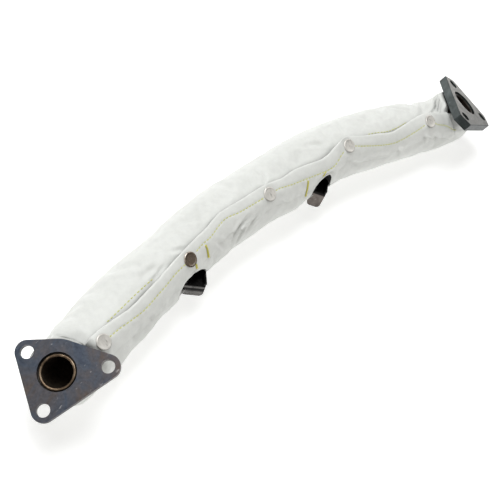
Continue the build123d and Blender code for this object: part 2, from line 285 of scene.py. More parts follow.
# ---- materials ----
class Shade:
    """A node material under construction, new or taken up again."""

    def __init__(self, material):
        if isinstance(material, str):
            material = bpy.data.materials.new(material)
            material.use_nodes = True
        self.material = material
        self.tree = material.node_tree
        self.bsdf = self.tree.nodes["Principled BSDF"]
        self.coords = self.tree.nodes.new("ShaderNodeTexCoord")

    def node(self, kind, **inputs):
        """New shader node with some of its inputs set; an underscore stands for a space."""
        n = self.tree.nodes.new("ShaderNode" + kind)
        for key, value in inputs.items():
            n.inputs[key.replace("_", " ")].default_value = value
        return n

    def link(self, a, b):
        self.tree.links.new(a, b)

    def noise(self, scale, detail=4.0, rough=0.55, stretch=None, distort=0.0):
        n = self.node("TexNoise", Scale=scale, Detail=detail, Roughness=rough, Distortion=distort)
        vector = self.coords.outputs["Object"]
        if stretch:
            m = self.node("Mapping", Scale=stretch)
            self.link(vector, m.inputs["Vector"])
            vector = m.outputs["Vector"]
        self.link(vector, n.inputs["Vector"])
        return n.outputs["Fac"]

    def fill(self, socket, value):
        """Sets a socket to a number or a colour, or links it."""
        if isinstance(value, (int, float)):
            socket.default_value = value
        elif isinstance(value, tuple):
            socket.default_value = (*value, 1.0)
        else:
            self.link(value, socket)

    def ramp(self, value, stops):
        r = self.node("ValToRGB")
        elements = r.color_ramp.elements
        while len(elements) < len(stops):
            elements.new(0.5)
        for element, (place, colour) in zip(elements, stops):
            element.position = place
            if isinstance(colour, (int, float)):
                colour = (colour, colour, colour)
            element.color = (*colour, 1.0)
        self.link(value, r.inputs["Fac"])
        return r.outputs["Color"]

    def math(self, operation, a, b):
        m = self.node("Math")
        m.operation = operation
        self.fill(m.inputs[0], a)
        self.fill(m.inputs[1], b)
        return m.outputs[0]

    def mix(self, fac, a, b, blend="MIX"):
        m = self.node("Mix")
        m.data_type = "RGBA"
        m.blend_type = blend
        for index, value in ((0, fac), (6, a), (7, b)):
            self.fill(m.inputs[index], value)
        return m.outputs[2]

    def colour(self, socket):
        self.link(socket, self.bsdf.inputs["Base Color"])

    def rough(self, socket):
        self.link(socket, self.bsdf.inputs["Roughness"])

    def relief(self, height, strength, distance, under=None):
        b = self.node("Bump", Strength=strength, Distance=distance)
        self.link(height, b.inputs["Height"])
        if under is not None:
            self.link(under, b.inputs["Normal"])
        self.link(b.outputs["Normal"], self.bsdf.inputs["Normal"])
        return b.outputs["Normal"]

    def set(self, **values):
        for key, value in values.items():
            self.bsdf.inputs[key.replace("_", " ")].default_value = value


def cloth_material(name, light, dark):
    """Coated glass cloth: satin, with a fine plain weave, and painted shade that darkens its
    corners and creases.
    """
    s = Shade(name)
    uv = s.coords.outputs["UV"]
    blotch = s.noise(22.0, 5.0, 0.6)
    fine = s.noise(160.0, 3.0, 0.6)
    base = s.ramp(blotch, [(0.30, dark), (0.72, light)])
    speck = s.ramp(fine, [(0.25, 0.93), (0.6, 1.0)])
    toned = s.mix(1.0, base, speck, "MULTIPLY")
    waves = []
    for axis in ("X", "Y"):
        w = s.node("TexWave", Scale=230.0, Distortion=0.6, Detail=1.0)
        w.bands_direction = axis
        s.link(uv, w.inputs["Vector"])
        waves.append(w.outputs["Fac"])
    threads = s.math("MAXIMUM", waves[0], waves[1])
    toned = s.mix(1.0, toned, s.ramp(threads, [(0.0, 0.95), (1.0, 1.0)]), "MULTIPLY")
    # Painted shade: ambient occlusion darkens the cloth's colour in corners, creases and the gap
    # under the flap.
    corners = s.node("AmbientOcclusion", Distance=0.006)
    corners.samples = 8
    s.link(toned, corners.inputs["Color"])
    painted_crease_shade = s.ramp(corners.outputs["AO"], [(0.12, 0.20), (0.36, 0.52), (0.62, 0.82), (0.9, 1.0)])
    s.colour(s.mix(1.0, toned, painted_crease_shade, "MULTIPLY"))
    s.rough(s.ramp(fine, [(0.2, 0.42), (0.8, 0.56)]))
    crinkle = s.noise(95.0, 6.0, 0.62, distort=0.4)
    under = s.relief(crinkle, 0.35, 0.0012)
    s.relief(threads, 0.25, 0.00022, under)
    s.set(Specular_IOR_Level=0.42, Sheen_Weight=0.12, Sheen_Roughness=0.5)
    return s.material


def thread_material(name, light, dark):
    """Twisted yellow sewing thread."""
    s = Shade(name)
    twist = s.noise(900.0, 2.0, 0.5)
    s.colour(s.ramp(twist, [(0.35, dark), (0.65, light)]))
    s.relief(twist, 0.5, 0.0002)
    s.rough(s.ramp(twist, [(0.2, 0.6), (0.8, 0.75)]))
    s.set(Specular_IOR_Level=0.35, Sheen_Weight=0.2)
    return s.material


def steel_material(name, tones, rough, scale, metallic=1.0, scratch=0.4, relief=0.25,
                   streak=(1, 1, 1)):
    """Steel with broad tone patches, fine grain and light scratches."""
    s = Shade(name)
    broad = s.noise(scale, 6.0, 0.62, distort=0.8)
    grain = s.noise(420.0, 4.0, 0.6, stretch=streak)
    base = s.ramp(broad, tones)
    base = s.mix(0.35, base, s.ramp(grain, [(0.3, 0.25), (0.75, 1.0)]), "MULTIPLY")
    lines = s.noise(300.0, 2.0, 0.5, stretch=(0.06, 1.0, 1.0), distort=0.1)
    marks = s.ramp(lines, [(0.66, 0.0), (0.74, 1.0)])
    patch = s.ramp(s.noise(45.0, 3.0), [(0.5, 0.0), (0.66, 1.0)])
    amount = s.math("MULTIPLY", s.math("MULTIPLY", marks, patch), scratch)
    s.colour(s.mix(amount, base, (0.75, 0.75, 0.76)))
    s.rough(s.ramp(grain, [(0.25, rough[0]), (0.8, rough[1])]))
    s.relief(grain, relief, 0.0003)
    s.set(Metallic=metallic)
    return s.material


def paint(obj, material):
    obj.data.materials.clear()
    obj.data.materials.append(material)


def dress(obj, material):
    """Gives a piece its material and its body."""
    paint(obj, material)
    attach(obj, "root")


cloth = cloth_material("cover_cloth", (0.82, 0.83, 0.80), (0.76, 0.77, 0.74))
# Near-black cloth for the openings' pockets: painted shade where the filling is hollowed out.
pocket_shade = cloth_material("painted_shade_pocket_cloth", (0.005, 0.0045, 0.004), (0.002, 0.0018, 0.0016))
thread = thread_material("seam_thread", (0.78, 0.78, 0.20), (0.58, 0.61, 0.12))
tack_thread = thread_material("tack_thread", (0.98, 0.90, 0.14), (0.86, 0.80, 0.10))
blued = steel_material(
    "inlet_flange_steel",
    [(0.22, (0.035, 0.045, 0.075)), (0.42, (0.085, 0.10, 0.13)), (0.55, (0.11, 0.105, 0.115)),
     (0.66, (0.13, 0.10, 0.085)), (0.82, (0.17, 0.175, 0.19))],
    (0.30, 0.55), 26.0, scratch=0.55, metallic=0.85)
machined = steel_material(
    "outlet_flange_steel",
    [(0.25, (0.13, 0.128, 0.12)), (0.5, (0.27, 0.265, 0.25)), (0.75, (0.42, 0.41, 0.39))],
    (0.32, 0.55), 75.0, scratch=0.5, metallic=0.85)
seal_dark = steel_material(
    "seal_weld_dark",
    [(0.3, (0.02, 0.017, 0.015)), (0.55, (0.05, 0.042, 0.036)), (0.8, (0.10, 0.085, 0.07))],
    (0.35, 0.6), 110.0, scratch=0.1, relief=0.5)
# Painted shade: the outlet pipe is coloured darker than the other pipe steel, so that it shows dark
# down the outlet bore.
outlet_pipe_shaded = steel_material(
    "outlet_pipe_steel",
    [(0.3, (0.02, 0.016, 0.014)), (0.55, (0.045, 0.036, 0.03)), (0.8, (0.08, 0.06, 0.05))],
    (0.5, 0.8), 60.0, scratch=0.1)
pipe = steel_material(
    "pipe_steel",
    [(0.3, (0.05, 0.04, 0.032)), (0.55, (0.13, 0.10, 0.075)), (0.8, (0.24, 0.19, 0.14))],
    (0.45, 0.75), 60.0, scratch=0.1)
bronze = steel_material(
    "seal_weld_bronze",
    [(0.3, (0.03, 0.022, 0.016)), (0.5, (0.17, 0.12, 0.08)), (0.7, (0.40, 0.31, 0.22))],
    (0.3, 0.5), 95.0, scratch=0.1, relief=0.5)
weld = steel_material(
    "weld_steel",
    [(0.3, (0.08, 0.07, 0.065)), (0.55, (0.2, 0.18, 0.16)), (0.8, (0.33, 0.30, 0.27))],
    (0.32, 0.55), 110.0, scratch=0.1, relief=0.5)
scaled = steel_material(
    "bracket_steel",
    [(0.3, (0.06, 0.057, 0.054)), (0.5, (0.14, 0.135, 0.128)), (0.75, (0.26, 0.25, 0.24))],
    (0.2, 0.42), 110.0, scratch=0.35, metallic=0.85)
scaled_brown = steel_material(
    "bracket_steel_brown",
    [(0.3, (0.10, 0.085, 0.075)), (0.55, (0.19, 0.165, 0.15)), (0.8, (0.27, 0.245, 0.225))],
    (0.3, 0.5), 90.0, scratch=0.2, metallic=0.8)


def toned(material, along, stops):
    """Multiplies a colour by tones along an axis, or by how far a face turns to a direction."""
    s = Shade(material)
    source = s.bsdf.inputs["Base Color"].links[0].from_socket
    if isinstance(along, str):
        split = s.node("SeparateXYZ")
        s.link(s.coords.outputs["Object"], split.inputs[0])
        value = split.outputs[along]
    else:
        dot = s.node("VectorMath")
        dot.operation = "DOT_PRODUCT"
        dot.inputs[1].default_value = along.normalized()
        s.link(s.node("NewGeometry").outputs["True Normal"], dot.inputs[0])
        value = dot.outputs["Value"]
    low, high = stops[0][0], stops[-1][0]
    span = s.node("MapRange", From_Min=low, From_Max=high)
    s.link(value, span.inputs["Value"])
    places = [((place - low) / (high - low), tone) for place, tone in stops]
    bands = s.ramp(span.outputs["Result"], places)
    s.colour(s.mix(1.0, source, bands, "MULTIPLY"))


nickel = steel_material(
    "snap_nickel",
    [(0.3, (0.76, 0.735, 0.69)), (0.55, (0.90, 0.87, 0.82)), (0.8, (0.98, 0.955, 0.91))],
    (0.24, 0.4), 140.0, scratch=0.25, relief=0.15, metallic=0.4, streak=(1, 0.1, 1))
nickel_dark = steel_material(
    "snap_nickel_dark",
    [(0.3, (0.78, 0.70, 0.62)), (0.55, (0.88, 0.80, 0.72)), (0.8, (0.95, 0.88, 0.80))],
    (0.2, 0.34), 140.0, scratch=0.25, relief=0.15, streak=(1, 0.1, 1))
brass = steel_material(
    "snap_brass",
    [(0.3, (0.36, 0.27, 0.12)), (0.7, (0.55, 0.44, 0.24))],
    (0.3, 0.45), 140.0, scratch=0.1)

# The sides of a flange are darker than its ground face, and painted shade darkens the outlet's face
# towards -Y.
toned(machined, outlet_normal, [(0.75, (0.30, 0.36, 0.38)), (0.92, (1.0, 1.0, 1.0))])
toned(machined, "Y", [(-0.034, 0.55), (-0.02, 0.62), (-0.002, 1.0), (0.03, 1.0)])
toned(blued, inlet_normal, [(0.75, (0.5, 0.48, 0.46)), (0.92, (1.0, 1.0, 1.0))])
# Pressed rims carry a painted highlight on their upper side and painted shade on the lower one; on
# the darker cap this painted shade covers most of its face.
upper_side = Vector((-0.2, 0.75, 0.62))
toned(nickel, upper_side, [(-0.4, 0.45), (0.02, 0.7), (0.12, 0.92), (0.45, 1.0), (0.8, 1.0)])
toned(nickel_dark, upper_side, [
    (-0.4, (0.09, 0.075, 0.065)), (0.0, (0.17, 0.145, 0.125)), (0.12, (0.30, 0.26, 0.23)),
    (0.34, (0.38, 0.33, 0.29)), (0.5, (1.0, 1.0, 1.0))])
# Painted light by height on the brackets: painted shade inside the openings, a painted highlight at
# the bends, a painted dark reflection band under bracket 1's bend, and painted shade along the
# lower edges.
toned(scaled, "Z", [
    (-0.0362, 0.05), (-0.035, 0.08), (-0.034, 0.8), (-0.03, 0.95), (-0.0286, 0.4), (-0.0274, 0.05),
    (-0.0256, 0.06), (-0.0246, 0.9), (-0.0236, 0.7), (-0.0226, 0.06), (-0.015, 0.03)])
toned(scaled_brown, "Z", [
    (-0.0382, 0.2), (-0.0374, 0.25), (-0.0366, 0.85), (-0.03, 0.95), (-0.025, 1.1), (-0.0232, 1.0),
    (-0.0226, 0.25), (-0.0222, 0.04), (-0.014, 0.02)])
looks = [
    (blued, ["inlet_flange"]), (machined, ["outlet_flange"]), (outlet_pipe_shaded, ["outlet_elbow"]),
    (pipe, ["inlet_elbow", *(f"run_tube_{k}" for k in range(1, 5))]),
    (bronze, ["inlet_seal_weld"]), (seal_dark, ["outlet_seal_weld"]),
    (weld, [f"{end}_{kind}_weld" for end in ("inlet", "outlet") for kind in ("fillet", "butt")]),
    (scaled, ["bracket_1"]), (scaled_brown, ["bracket_2"]),
    (brass, [f"snap_{kind}_{k}" for kind in ("socket", "stud", "rivet") for k in range(1, 6)]),
]
for material, names in looks:
    for name in names:
        paint(nodes[name], material)


# ---- jacket: outer cover ----
ring_step = 3.2
ring_count = 64
swell_cap = 2.4  # how far the simulation may move the cloth
sink_cap = 0.5  # and how far inwards
swell_frames = 24
held_from, held_to = 356, 46  # angles between which the cloth is held under the flap
slot_hold, snap_hold = 4.5, 9.0  # how near an opening or a snap the cloth is held
slot_lift = 1.6  # how far the cloth stands up beside a bracket's opening
bore_step = 9.0  # between rings of the bore
end_shares = (0.35, 0.75, 1.0)  # rings of a turned-in end, from the skin to the weld
# Where the skin is drawn in: depth, and how far along the jacket this fades.
inlet_draw, outlet_draw, underside_draw = (1.2, 7), (1.6, 9), (6.0, 44)
underside_width = 52.0
slack, slack_station, slack_reach = 0.8, -18, 22
# Fuller (positive) and flatter stretches: station, reach along, from angle, to angle, height.
bulges = [
    (62, 42, 80, 150, 2.6), (135, 42, -120, -50, -3.6), (302, 22, 80, 140, 2.6),
    (440, 44, 80, 140, 1.8),
]


def cover_profile(distance):
    """Plain outer radius of the jacket at a distance from the inlet face."""
    neck = smooth(distance, END - 55, END - 5)
    return cover_radius - outlet_step * 0.9 * neck


def past_outlet(point):
    """How far a point is past the plane at the jacket's outlet end."""
    return (point - outlet_centre).dot(outlet_normal) + outlet_depth


def push_outlet(point):
    return point - outlet_normal * max(0.0, past_outlet(point))


def push_inlet(point):
    return point - inlet_normal * max(0.0, point.dot(inlet_normal) + inlet_depth)


def outer(distance, angle):
    """Radius of the skin, a little slack and drawn in at its ends."""
    r = cover_profile(distance)
    into = distance - START
    if into < 0:
        above = (1 + math.cos(math.radians(angle))) / 2
        r -= slack * bump(into - slack_station, slack_reach) * above
    below = bump(angle - 180, underside_width)
    for (depth, fade), share in ((inlet_draw, 1), (underside_draw, below)):
        r -= depth * share * (1 - smooth(distance, inlet_depth, inlet_depth + fade))
    last = line.length - outlet_depth
    return r - outlet_draw[0] * smooth(distance, last - outlet_draw[1], last)


def cover_body():
    """Closed padded body of the jacket: outer skin, turned-in ends and the bore round the pipe."""
    count = int(round((line.length - inlet_depth - outlet_depth) / ring_step))
    first, last = inlet_depth - 0.5, line.length - outlet_depth + 0.5
    stations = [first + (last - first) * i / count for i in range(count + 1)]
    verts, faces, rows = [], [], []

    def add_ring(distance, radius_of, push=True):
        rows.append(len(verts))
        for j in range(ring_count):
            angle = 360.0 * j / ring_count
            p = line.surface(distance, angle, radius_of(distance, angle))
            verts.append(push_outlet(push_inlet(p)) if push else p)

    def add_end(distance, share):
        add_ring(distance, lambda d, a: (1 - share) * outer(d, a) + share * weld_reach)

    for distance in stations:
        add_ring(distance, outer)
    outer_rows = len(rows)
    for share in end_shares:
        add_end(stations[-1], share)
    bore_out = line.length - outlet_depth - 6
    add_ring(bore_out, lambda d, a: weld_reach)
    for i in range(int((bore_out - inlet_depth - 10) / bore_step)):
        add_ring(bore_out - 2 - bore_step * i, lambda d, a: facing_radius)
    add_ring(inlet_depth + 5, lambda d, a: weld_reach, False)
    for share in reversed(end_shares):
        add_end(stations[0], share)
    for first, second in closed_pairs(rows):
        faces += band(first, second, ring_count)
    return make_object("jacket_cover", verts, faces), outer_rows, stations


cover, outer_rows, stations = cover_body()


def rounded(points, times=3):
    """Cuts the corners of a closed outline."""
    for _ in range(times):
        cut = []
        for (x0, y0), (x1, y1) in closed_pairs(points):
            cut.append((0.75 * x0 + 0.25 * x1, 0.75 * y0 + 0.25 * y1))
            cut.append((0.25 * x0 + 0.75 * x1, 0.25 * y0 + 0.75 * y1))
        points = cut
    return points


slot_loops = {name: [(u, v * per_degree) for u, v in rounded(points)]
              for name, points in slot_outlines.items()}
sample_step = 4.0
sample_window = 10  # samples looked at on either side of a guess
slot_search = 60.0  # no opening reaches further than this from its bracket's end
centre_samples = [(sample_step * i, *line.station(sample_step * i)[:2])
                  for i in range(int(line.length / sample_step))]
sample_xs = [centre.x for _, centre, _ in centre_samples]


def run_place(point):
    """Station and angle of a point (millimetres) on the jacket."""
    guess = bisect.bisect(sample_xs, point.x)
    window = centre_samples[max(0, guess - sample_window):guess + sample_window]
    distance, centre, along = min(window, key=lambda sample: (sample[1] - point).length_squared)
    distance += (point - centre).dot(along)
    centre, _, up, side = line.station(distance)
    q = point - centre
    return distance - START, math.degrees(math.atan2(-q.dot(side), q.dot(up)))


def off_line(point):
    """Distance of a point from the pipe's line."""
    return (point - line.station(START + run_place(point)[0])[0]).length


def near_slot(point):
    """Nearest place on an opening's outline: distance (negative inside), station and angle."""
    for name, loop in slot_loops.items():
        if (point - Vector(bracket_ends[name])).length > slot_search:
            continue
        x, angle = run_place(point)
        y = angle * per_degree
        best, inside = None, False
        for start, end in closed_pairs(loop):
            px, py, d, _ = nearest_on(x, y, start, end)
            if best is None or d < best[0]:
                best = (d, px, py)
            (x0, y0), (x1, y1) = start, end
            if (y0 > y) != (y1 > y) and x < x0 + (y - y0) * (x1 - x0) / (y1 - y0):
                inside = not inside
        d, px, py = best
        return (-d if inside else d), px, py / per_degree
    return None


cloth_settings = {
    "quality": 6, "mass": 0.25, "tension_stiffness": 12.0, "compression_stiffness": 12.0,
    "shear_stiffness": 6.0, "bending_stiffness": 0.35, "tension_damping": 8.0,
    "compression_damping": 8.0, "use_pressure": True, "uniform_pressure_force": 4.0,
    "vertex_group_mass": "held", "pin_stiffness": 3.0, "shrink_min": -0.035,
}


def ring_place(v):
    """Ring and angle of one of the cover's vertices."""
    ring, j = divmod(v.index, ring_count)
    return ring, 360.0 * j / ring_count


def simulate_cover(obj):
    """Lets the cloth swell over its filling, held at its ends, seam, snaps and openings."""
    before = [v.co.copy() for v in obj.data.vertices]
    group = obj.vertex_groups.new(name="held")
    snaps = [line.surface(START + s, a, cover_radius) for s, a in zip(snap_stations, snap_angles)]
    for v in obj.data.vertices:
        place = v.co / MM
        ring, angle = ring_place(v)
        slot = near_slot(place)
        if (ring < 3 or ring > outer_rows - 4 or slot and slot[0] < slot_hold
                or any((p - place).length < snap_hold for p in snaps)):
            group.add([v.index], 1.0, "REPLACE")
        elif angle < held_to or angle > held_from:
            group.add([v.index], 0.8, "REPLACE")
    sim = obj.modifiers.new("cloth", "CLOTH")
    for key, value in cloth_settings.items():
        setattr(sim.settings, key, value)
    sim.settings.effector_weights.gravity = 0.0
    sim.collision_settings.use_collision = False
    sim.collision_settings.use_self_collision = False
    sim.point_cache.frame_end = swell_frames
    for frame_number in range(1, swell_frames + 1):
        bpy.context.scene.frame_set(frame_number)
    applied(obj)
    for v, old in zip(obj.data.vertices, before):
        move = v.co - old
        move *= min(1.0, swell_cap * MM / max(move.length, 1e-9))
        ring, angle = ring_place(v)
        if ring < outer_rows:
            out = line.outward(stations[ring], angle)
            sunk = -move.dot(out) - sink_cap * MM
            if sunk > 0:
                move += out * sunk
        v.co = old + move
    bpy.context.scene.frame_set(1)
    obj.vertex_groups.clear()


simulate_cover(cover)


hem_station, hem_width, hem_tuck = -22.0, 4.0, 1.4
long_wave, short_wave, crest_height = 0.7, 0.45, 0.75
pull_depth, pull_from, pull_to = 0.45, 8.0, 34.0
pull_degree = 0.55  # millimetres in a degree round a snap
gap_depth, gap_angle, gap_width = 7.0, 5.0, 8.0
least_gap = 0.3


def soft_waves(distance, angle):
    """Long soft waves and a few sharper crests."""
    q = Vector((distance / 46.0, angle / 38.0, 2.7))
    waves = long_wave * noise.noise(q) + short_wave * noise.noise(q * 2.3 + Vector((5, 1, 3)))
    place = Vector((distance / 30.0 + angle / 60.0, angle / 34.0, 5.1))
    crest = 1 - abs(noise.noise(place)) * 2.4
    return waves + crest_height * max(0.0, crest) ** 3 - 0.25


def pull_lines(distance, angle):
    """Tucks that fan out from each snap into the lower panel and over the top."""
    depth = 0.0
    for station, snap_angle in zip(snap_stations, snap_angles):
        dx = distance - station
        dy = (angle - snap_angle) * pull_degree
        reach = math.hypot(dx, dy)
        if pull_from < reach < pull_to:
            fan = math.sin(6 * math.atan2(dy, dx) + station)
            fade = smooth(reach, pull_from, 14) * (1 - smooth(reach, 20, pull_to))
            depth += pull_depth * fan * fade
    return depth


def tucks(distance, angle, place):
    """Tucks and folds that the seams pull into the cloth, as a height on the simulated shape."""
    # Turned hem behind the inlet flange.
    height = -hem_tuck * bump(distance - hem_station, hem_width)
    height *= smooth(angle, -80, -50) * (1 - smooth(angle, -8, 4))
    for middle, span, low, high, fuller in bulges:
        beside = smooth(abs(angle - (low + high) / 2), high - low, (high - low) / 3)
        height += fuller * bump(distance - middle, span) * beside
    height += soft_waves(distance, angle) + pull_lines(distance, angle)
    # Cloth lifted round the bracket openings.
    slot = near_slot(place)
    if slot:
        height += slot_lift * bump(max(0.0, slot[0] - 1.0), 7.0) * (1 - smooth(angle, 78, 96))
    return height


def tune_cover(obj):
    for v in obj.data.vertices:
        place = v.co / MM
        ring, angle = ring_place(v)
        if ring < outer_rows:
            turn = angle - 360.0 if angle > 180 else angle
            height = tucks(stations[ring] - START, turn, place)
            place = push_outlet(push_inlet(place + line.outward(stations[ring], turn) * height))
        # The end stands away from the outlet flange beside the flap.
        angle -= gap_angle
        gap = gap_depth * (bump(angle, gap_width) + bump(angle - 360.0, gap_width))
        if gap > least_gap:
            place -= outlet_normal * max(0.0, past_outlet(place) + gap)
        v.co = place * MM


tune_cover(cover)
rounded_off(cover)


def tree_of(obj):
    return BVHTree.FromPolygons([v.co / MM for v in obj.data.vertices],
                                [tuple(p.vertices) for p in obj.data.polygons])


# Creases pressed into the cloth: (station, angle) line, depth, half width.
creases = [
    ([(524, 6), (534, 1), (547, -14), (562, -27), (586, -52)], 3.4, 1.6),
    ([(536, 3), (546, -4), (562, -17), (586, -38)], 3.0, 1.5),
    ([(88, 12), (99, 10.8), (112, 8)], 1.6, 1.7),
    ([(124, -4), (134, 6), (139, 12)], 1.4, 2.0),
    ([(262, 4), (268, -6), (271, -16)], 1.6, 1.7),
    ([(80, -6), (96, -1), (104, 6)], 1.0, 2.6),
    ([(224, 36), (211, 42), (201, 52), (195, 66)], 2.2, 1.9),
    ([(219, 52), (211, 60), (203, 78)], 2.0, 2.0),
    ([(238, 44), (228, 52), (218, 70)], 1.5, 2.2),
    ([(268, 40), (277, 54), (282, 70)], 0.7, 2.6),
    ([(60, 44), (66, 58), (68, 76)], 0.5, 2.8),
    ([(46, 40), (50, 52), (47, 64)], 0.5, 2.6),
    ([(76, 46), (84, 60), (92, 70)], 0.5, 2.8),
    ([(172, 34), (182, 50), (186, 68)], 1.3, 2.2),
    ([(375, 40), (385, 56), (398, 68)], 0.8, 2.6),
    ([(360, 48), (368, 60), (372, 76)], 0.7, 2.6),
    ([(412, 52), (425, 62), (446, 66)], 0.5, 3.0),
    ([(458, 52), (470, 66), (474, 84)], 1.1, 2.4),
    ([(505, 40), (514, 54), (518, 72)], 1.4, 2.2),
    ([(528, 46), (538, 62), (541, 82)], 1.3, 2.4),
    ([(150, -30), (168, -22), (180, -10)], 1.0, 2.6),
    ([(330, -20), (348, -10), (360, 0)], 1.3, 2.2),
    ([(420, -35), (436, -24), (444, -8)], 1.0, 2.6),
    ([(482, -40), (494, -26), (503, -10)], 1.2, 2.4),
]


crease_search = 40.0  # how far from its middle a crease is looked for
thinnest, end_margin = 25.0, 3.0  # creases keep to the skin and off the outlet end
ridge_height, ridge_place = 0.45, 2.2
end_share = 0.08


def press_creases(obj, share_of=lambda station, angle: 1.0):
    """Presses the creases into the fine mesh, with a low ridge on either side."""
    ready = []
    for points, depth, half_width in creases:
        middle_station, middle_angle = points[len(points) // 2]
        middle = line.surface(START + middle_station, middle_angle, cover_radius)
        ready.append(([(u, v * per_degree) for u, v in points], depth, half_width, middle))
    for v in obj.data.vertices:
        place = v.co / MM
        near = [item for item in ready if (place - item[3]).length_squared < crease_search ** 2]
        if not near:
            continue
        station, angle = run_place(place)
        foot = line.station(START + station)[0]
        if (place - foot).length < thinnest or past_outlet(place) > -end_margin:
            continue
        sink = 0.0
        for flat, depth, half_width, _ in near:
            best, share = None, 0.0
            for k, (start, end) in enumerate(zip(flat, flat[1:])):
                _, _, d, t = nearest_on(station, angle * per_degree, start, end)
                if best is None or d < best:
                    best, share = d, (k + t) / (len(flat) - 1)
            fade = math.sin(math.pi * (end_share + (1 - 2 * end_share) * share))
            ridge = ridge_height * bump(best - ridge_place * half_width, half_width)
            sink += depth * fade * (bump(best, half_width) - ridge)
        v.co -= (place - foot).normalized() * sink * share_of(station, angle) * MM


press_creases(cover)
whole_cover = tree_of(cover)


def cover_at(station, angle):
    """Radius of the finished cover at a station of the run."""
    distance = START + station
    far, reach = 48.0, 30.0
    start = line.surface(distance, angle, far)
    hit = whole_cover.ray_cast(start, -line.outward(distance, angle), reach)
    return far - hit[3] if hit[0] else cover_profile(distance)


skin_limit = 26.0  # the skin is never nearer the pipe's line than this
snap_to_edge = 1.3  # vertices this near an outline are moved onto it
cloth_edge, pocket_depth = 1.2, 9.0
rim_height, rim_reach = 0.7, 9.0


def open_slots(obj):
    """Cuts the bracket openings: neat edges, a raised rim, and a pocket into the filling, lined
    with near-black cloth as painted shade.
    """
    bm = bmesh.new()
    bm.from_mesh(obj.data)
    bm.normal_update()
    for v in bm.verts:
        place = v.co / MM
        slot = near_slot(place)
        if not slot:
            continue
        radius = off_line(place)
        if radius < skin_limit:
            continue
        d, station, angle = slot
        if abs(d) < snap_to_edge:
            v.co = line.surface(START + station, angle, radius) * MM
        if 0 <= d < rim_reach:
            v.co += v.normal * rim_height * bump(d - 1.6, 2.2) * MM
    doomed = []
    for f in bm.faces:
        place = f.calc_center_median() / MM
        slot = near_slot(place)
        if slot and slot[0] < -0.3 and off_line(place) > skin_limit:
            doomed.append(f)
    bmesh.ops.delete(bm, geom=doomed, context="FACES")
    edges = [e for e in bm.edges if e.is_boundary and near_slot(e.verts[0].co / MM)]
    # The pocket's faces get material 1, the near-black cloth that is painted shade.
    for dark, depth in enumerate((cloth_edge, pocket_depth)):
        made = bmesh.ops.extrude_edge_only(bm, edges=edges)["geom"]
        for item in made:
            if isinstance(item, bmesh.types.BMVert):
                station, angle = run_place(item.co / MM)
                item.co -= line.outward(START + station, angle) * depth * MM
            elif isinstance(item, bmesh.types.BMFace):
                item.material_index = dark
        edges = [e for e in made if isinstance(e, bmesh.types.BMEdge) and e.is_boundary]
    for f in bmesh.ops.holes_fill(bm, edges=edges, sides=0)["faces"]:
        f.material_index = 1
    bm.normal_update()
    bm.to_mesh(obj.data)
    bm.free()
    shade_smooth(obj.data)


paint(cover, cloth)
cover.data.materials.append(pocket_shade)
open_slots(cover)
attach(cover, "root")
filling = ["facing_inlet", "facing_outlet", "facing_run", "mat_inlet", "mat_outlet"]
filling += [f"mat_run_{k}" for k in range(1, 5)]
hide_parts("cover_inlet", "cover_run", "cover_outlet", "inlet_hem", "outlet_hem", *filling)


# ---- jacket: overlap flap ----
flap_first, flap_last, flap_step = 3.0, 570.0, 2.0
closing_step = 1.2  # the flap's inlet end closes down over a few short rows
tail_from, tail_to = 519, 545  # where the flap flattens towards the outlet
tail_height = 2.4
flap_reach, reach_wander = 30.0, 4.0  # degrees from the stitch line to the flap's root
drape_steps = 16
# Places where the lip stands up: station, half width, height.
lifts = [(372, 10, 4.4), (264, 10, 0.9), (128, 14, 0.8)]
# The lip, from the tucked hem round to the stitch line: share of the way, height, share of a lift.
lip_section = [
    (0.70, -1.2, 0.1), (0.45, -1.2, 0.2), (0.2, -1.1, 0.6), (0.07, -0.9, 0.8), (0.01, -0.45, 0.9),
    (0.0, 0.15, 1.0), (0.035, 0.8, 0.95), (0.11, 1.0, 0.85), (0.26, 0.85, 0.7), (0.46, 0.75, 0.45),
    (0.66, 0.6, 0.25), (0.84, 0.3, 0.1), (0.94, -0.1, 0.0), (1.0, -0.45, 0.0),
]


def seam_angle(station):
    return through(seam_line, station)


def snap_nearness(station, width):
    return max(bump(station - s, width) for s in snap_stations)


def flap_height(station):
    """Outer radius of the flap along its stitch line."""
    near = snap_nearness(station, 13.0)
    wander = 0.7 * noise.noise(Vector((station / 17.0, 4.2, 0.0)))
    height = flap_radius - (1.0 - near) * (0.9 - wander)
    height -= 1.6 * bump(station - 196, 22)
    tail = smooth(station, tail_from, tail_to)
    return height * (1 - tail) + (cover_at(station, seam_angle(station)) + tail_height) * tail


def flap_drop(station):
    """Degrees from the stitch line to the flap's root, less beside an opening."""
    reach = flap_reach + reach_wander * noise.noise(Vector((station / 30.0, 3.0, 3.0)))
    for loop in slot_loops.values():
        near = [v for u, v in loop if abs(u - station) < 4]
        first, last = min(u for u, _ in loop), max(u for u, _ in loop)
        limit = (min(near) / per_degree if near else 75.0) - 2.5 - seam_angle(station)
        beside = smooth(station, first - 16, first - 2) * (1 - smooth(station, last + 2, last + 16))
        reach += beside * (min(reach, limit) - reach)
    return reach


